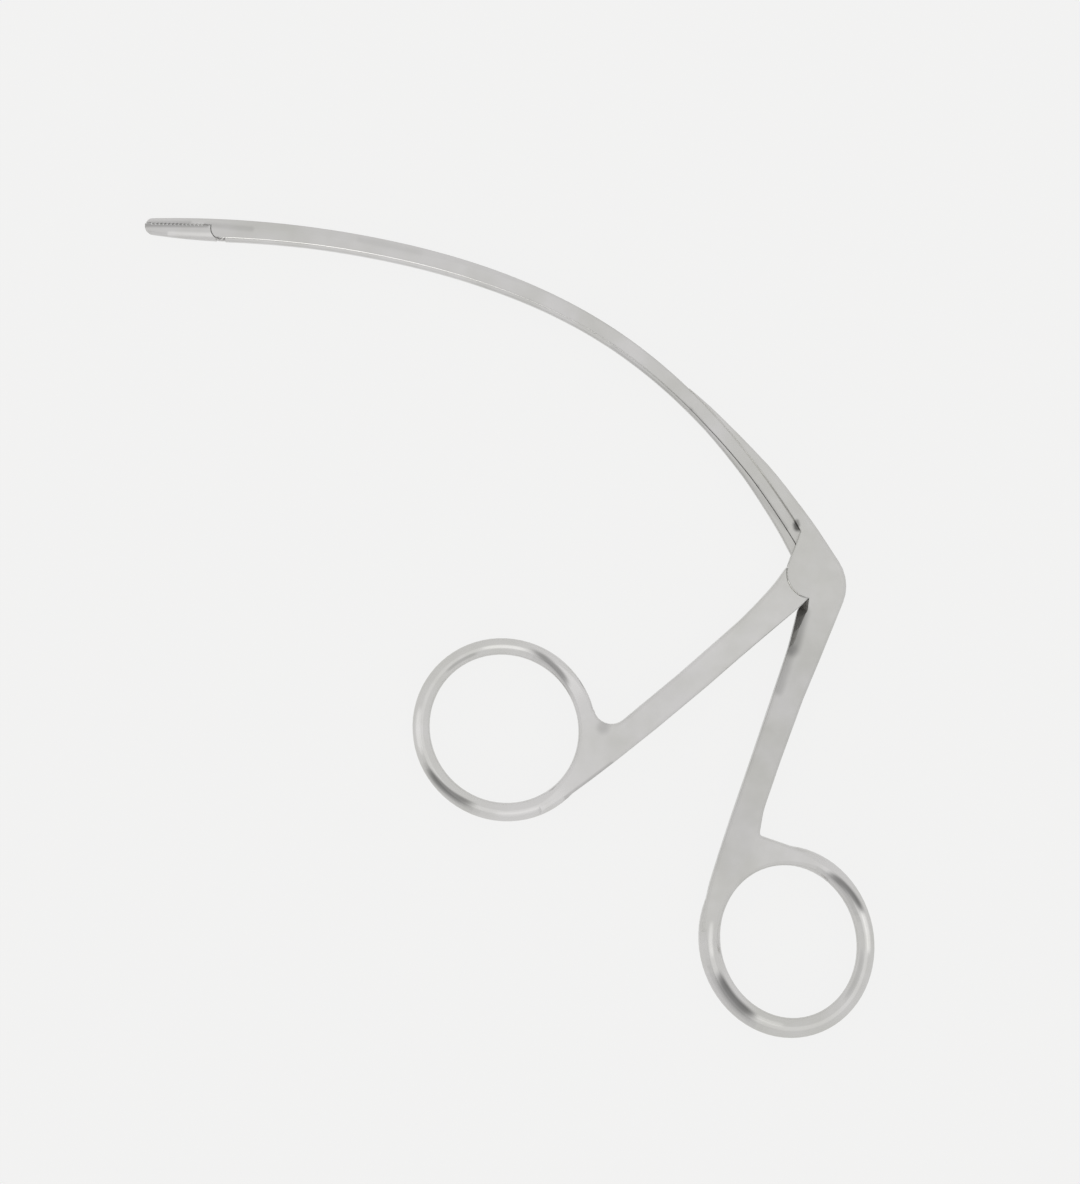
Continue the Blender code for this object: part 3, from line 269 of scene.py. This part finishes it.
def distance_from(tree, vector, start, end):
    """Distance of a vector output from a line between two fixed places, in the plane of the instrument."""
    offset = less(tree, vector, start)
    step = (end - start).length
    if step:
        line = (end - start) / step
        reach = maths(tree, "MINIMUM", maths(tree, "MAXIMUM", along_axis(tree, offset, line), 0.0), step)
        nearest = tree.nodes.new("ShaderNodeVectorMath")
        nearest.operation = "SCALE"
        nearest.inputs[0].default_value = line
        tree.links.new(reach, nearest.inputs["Scale"])
        rest = tree.nodes.new("ShaderNodeVectorMath")
        rest.operation = "SUBTRACT"
        tree.links.new(offset, rest.inputs[0])
        tree.links.new(nearest.outputs["Vector"], rest.inputs[1])
        offset = rest.outputs["Vector"]
    flat = tree.nodes.new("ShaderNodeVectorMath")
    flat.operation = "MULTIPLY"
    tree.links.new(offset, flat.inputs[0])
    flat.inputs[1].default_value = (1, 1, 0)
    length = tree.nodes.new("ShaderNodeVectorMath")
    length.operation = "LENGTH"
    tree.links.new(flat.outputs["Vector"], length.inputs[0])
    return length.outputs["Value"]


def flatten(tree, normal, amount):
    """Normal whose upright part is stretched by an amount."""
    stretch = tree.nodes.new("ShaderNodeCombineXYZ")
    stretch.inputs["X"].default_value = 1.0
    stretch.inputs["Y"].default_value = 1.0
    tree.links.new(amount, stretch.inputs["Z"])
    product = tree.nodes.new("ShaderNodeVectorMath")
    product.operation = "MULTIPLY"
    tree.links.new(normal, product.inputs[0])
    tree.links.new(stretch.outputs["Vector"], product.inputs[1])
    unit = tree.nodes.new("ShaderNodeVectorMath")
    unit.operation = "NORMALIZE"
    tree.links.new(product.outputs["Vector"], unit.inputs[0])
    return unit.outputs["Vector"]


def along_heading(tree, vector, degrees):
    """Part of a vector output that points in a direction in the plane of the instrument."""
    angle = math.radians(degrees)
    return along_axis(tree, vector, (math.cos(angle), math.sin(angle), 0))


def length_of(tree, across, up):
    """Length of a flat vector from its two parts."""
    squares = [maths(tree, "MULTIPLY", part, part) for part in (across, up)]
    return maths(tree, "SQRT", maths(tree, "ADD", *squares))


def step_round(tree, place, ring):
    """Offset from a ring's centre, and its length as a share of the ring's path."""
    centre, half, tilt = ring[:3]
    offset = less(tree, place, on_photo(*centre))
    shares = []
    for turn, size in zip((0, 90), half):
        part = along_heading(tree, offset, tilt + turn)
        shares.append(maths(tree, "DIVIDE", part, size * PIXEL))
    return offset, length_of(tree, *shares)


def painted_reflection(tree, offset, reach, size, reflection):
    """Tone of one painted reflection or painted highlight on a ring's wire: its own tone inside it and 1 away
    from it.
    """
    heading, fade, step, drift, inside, outside, tone = reflection
    ahead = along_heading(tree, offset, heading)
    side = along_heading(tree, offset, heading + 90)
    length = maths(tree, "MAXIMUM", length_of(tree, ahead, side), PIXEL)
    facing = maths(tree, "DIVIDE", ahead, length)
    sine = maths(tree, "DIVIDE", side, length)
    near, far = (math.cos(math.radians(value)) for value in fade)
    mask = ease(tree, facing, far, near)
    spot = maths(tree, "MULTIPLY_ADD", sine, -drift / size, reach)
    middle = 1 + step / size
    mask = maths(tree, "MULTIPLY", mask, ease(tree, spot, middle - inside / size, middle))
    mask = maths(tree, "MULTIPLY", mask, ease(tree, spot, middle, middle + outside / size, 1.0, 0.0))
    return ease(tree, mask, 0.0, 1.0, 1.0, tone)


def scaled(tree, colour, share):
    """Colour times a number from another node."""
    node = tree.nodes.new("ShaderNodeVectorMath")
    node.operation = "SCALE"
    tree.links.new(colour, node.inputs[0])
    tree.links.new(share, node.inputs["Scale"])
    return node.outputs["Vector"]


def waves(tree, place, kind, normal):
    """Normal roughened by fine waves of one kind."""
    scale, detail, strength, depth = kind
    noise = add(tree, "ShaderNodeTexNoise", Scale=scale, Detail=detail)
    tree.links.new(place, noise.inputs["Vector"])
    bump = add(tree, "ShaderNodeBump", Strength=strength, Distance=depth)
    tree.links.new(noise.outputs["Fac"], bump.inputs["Height"])
    tree.links.new(normal, bump.inputs["Normal"])
    return bump.outputs["Normal"]


def satin_steel(name, tone, roughness, ring=None, painted_shading=(), reflections=()):
    """Fine blasted steel: mottled tone and a fine grain, with painted shade and painted highlights along lines
    and a painted glow in the seams. A ring's wire is polished and carries painted reflections and highlights.
    """
    material = bpy.data.materials.new(name)
    tree, shader = nodes_of(material)
    link = tree.links.new
    place = tree.nodes.new("ShaderNodeTexCoord").outputs["Object"]

    cloud = add(tree, "ShaderNodeTexNoise", Scale=CLOUD_SCALE, Detail=NOISE_DETAIL, Roughness=CLOUD_ROUGHNESS)
    link(place, cloud.inputs["Vector"])
    ramp = tree.nodes.new("ShaderNodeValToRGB")
    low, high = ramp.color_ramp.elements
    low.position, high.position = CLOUD_SPAN
    low.color = (*(tone * share for share in CLOUD_LOW), 1)
    high.color = (*(tone * share for share in CLOUD_HIGH), 1)
    link(cloud.outputs["Fac"], ramp.inputs["Fac"])
    colour = ramp.outputs["Color"]
    # Painted shade and painted highlights along lines
    for start, end, near, far, share in painted_shading:
        away = distance_from(tree, place, on_photo(*start), on_photo(*end))
        painted_share = ease(tree, away, near * PIXEL, far * PIXEL, share, 1.0)
        colour = scaled(tree, colour, painted_share)
    if ring:
        offset, reach = step_round(tree, place, ring)
        size = (ring[1][0] + ring[1][1]) / 2
        # Painted dark reflections and painted highlights on the polished wire
        for reflection in reflections:
            colour = scaled(tree, colour, painted_reflection(tree, offset, reach, size, reflection))
    link(colour, shader.inputs["Base Color"])
    shader.inputs["Metallic"].default_value = 1.0
    # Painted glow in the seams: emission as strong as the face attribute
    seam_glow = tree.nodes.new("ShaderNodeAttribute")
    seam_glow.attribute_name = "seam_glow"
    shader.inputs["Emission Color"].default_value = (*SEAM_GLOW_TINT, 1)
    link(seam_glow.outputs["Fac"], shader.inputs["Emission Strength"])

    patch = add(tree, "ShaderNodeTexNoise", Scale=PATCH_SCALE, Detail=NOISE_DETAIL)
    link(place, patch.inputs["Vector"])
    swing = (roughness - ROUGHNESS_SWING, roughness + ROUGHNESS_SWING)
    rough = ease(tree, patch.outputs["Fac"], *PATCH_SPAN, *swing)
    if ring:
        end, clear = ring[3:]
        away = distance_from(tree, place, on_photo(*end), on_photo(*end))
        away = ease(tree, away, clear * PIXEL, (clear + POLISH_RUN) * PIXEL)
        polish = maths(tree, "MULTIPLY", ease(tree, reach, *WIRE_REACH, 1.0, 0.0), away)
        rough = maths(tree, "MULTIPLY", rough, ease(tree, polish, 0.0, 1.0, 1.0, POLISH))
    link(rough, shader.inputs["Roughness"])

    soft = add(tree, "ShaderNodeBevel", Radius=EDGE_ROUNDING)
    soft.samples = EDGE_SAMPLES
    normal = soft.outputs["Normal"]
    if ring:
        normal = flatten(tree, normal, ease(tree, polish, 0.0, 1.0, 1.0, CROWN))
    for kind in (RIPPLE, GRAIN):
        normal = waves(tree, place, kind, normal)
    link(normal, shader.inputs["Normal"])
    return material


def make_sky():
    """Even pale sky with a small lamp near the zenith and a dark gap low in the south-west."""
    world = bpy.data.worlds.new("studio")
    bpy.context.scene.world = world
    world.use_nodes = True
    tree = world.node_tree
    heading = tree.nodes.new("ShaderNodeTexCoord").outputs["Generated"]
    out = along_heading(tree, heading, GAP_HEADING)
    side = maths(tree, "ABSOLUTE", along_heading(tree, heading, GAP_HEADING + 90))
    gap = ease(tree, out, *GAP_START, 0.0, GAP_STRENGTH)
    near, far, share = GAP_FADE
    gap = maths(tree, "MULTIPLY", gap, ease(tree, out, near, far, 1.0, share))
    spread = maths(tree, "DIVIDE", side, maths(tree, "MAXIMUM", out, 0.01))
    gap = maths(tree, "MULTIPLY", gap, ease(tree, spread, *GAP_SPREAD, 1.0, 0.0))
    lamp = ease(tree, along_axis(tree, heading, LAMP_AXIS), *LAMP_EDGE, 0.0, LAMP_STRENGTH)
    even = maths(tree, "MULTIPLY", maths(tree, "SUBTRACT", 1.0, gap), SKY)
    strength = maths(tree, "ADD", even, lamp)
    back = tree.nodes["Background"]
    back.inputs["Color"].default_value = (1, 1, 1, 1)
    tree.links.new(strength, back.inputs["Strength"])


def paint_seam_glow():
    """Paints a glow on the walls of the fine seams, which a blurred photograph shows far lighter than a black
    gap.
    """
    trees = {}
    for name in {name for pair in SEAM_GLOW for name in pair}:
        mesh = frame["nodes"][name].data
        corners = [vertex.co for vertex in mesh.vertices]
        trees[name] = BVHTree.FromPolygons(corners, [face.vertices for face in mesh.polygons])
        mesh.attributes.new("seam_glow", "FLOAT", "FACE")
    for pair, glow_places in SEAM_GLOW.items():
        across = [on_photo(x, 0).x for x, glow_strength in glow_places]
        glow_strengths = [glow_strength for x, glow_strength in glow_places]
        for name, other in (pair, pair[::-1]):
            mesh = frame["nodes"][name].data
            seam_glow = mesh.attributes["seam_glow"].data
            for face in mesh.polygons:
                level = abs(face.normal.z) > SEAM_LEAN
                if level or trees[other].find_nearest(face.center, SEAM_REACH)[0] is None:
                    continue
                # Strength of the painted glow on this seam wall
                seam_glow[face.index].value = float(np.interp(face.center.x, across, glow_strengths))


def dress():
    """Gives every solid its steel and smooth shading with sharp edges."""
    pins = satin_steel("pin_steel", PIN_TONE, PIN_ROUGHNESS)
    for name, node in frame["nodes"].items():
        steel = pins
        if name in TONES:
            looks = (RINGS.get(name), PAINTED_LIGHT_AND_SHADE[name], PAINTED_RING_REFLECTIONS.get(name, ()))
            steel = satin_steel("steel_" + name, TONES[name], ROUGHNESS, *looks)
        mesh = node.data
        mesh.materials.clear()
        mesh.materials.append(steel)
        if mesh.has_custom_normals:
            mesh.normals_split_custom_set([(0, 0, 0)] * len(mesh.loops))
        mesh.shade_smooth()
        mesh.set_sharp_from_angle(angle=math.radians(SHARP_ANGLE))


make_camera()
make_floor()
make_sky()
dress()
paint_seam_glow()
bpy.context.scene.view_settings.view_transform = "Standard"
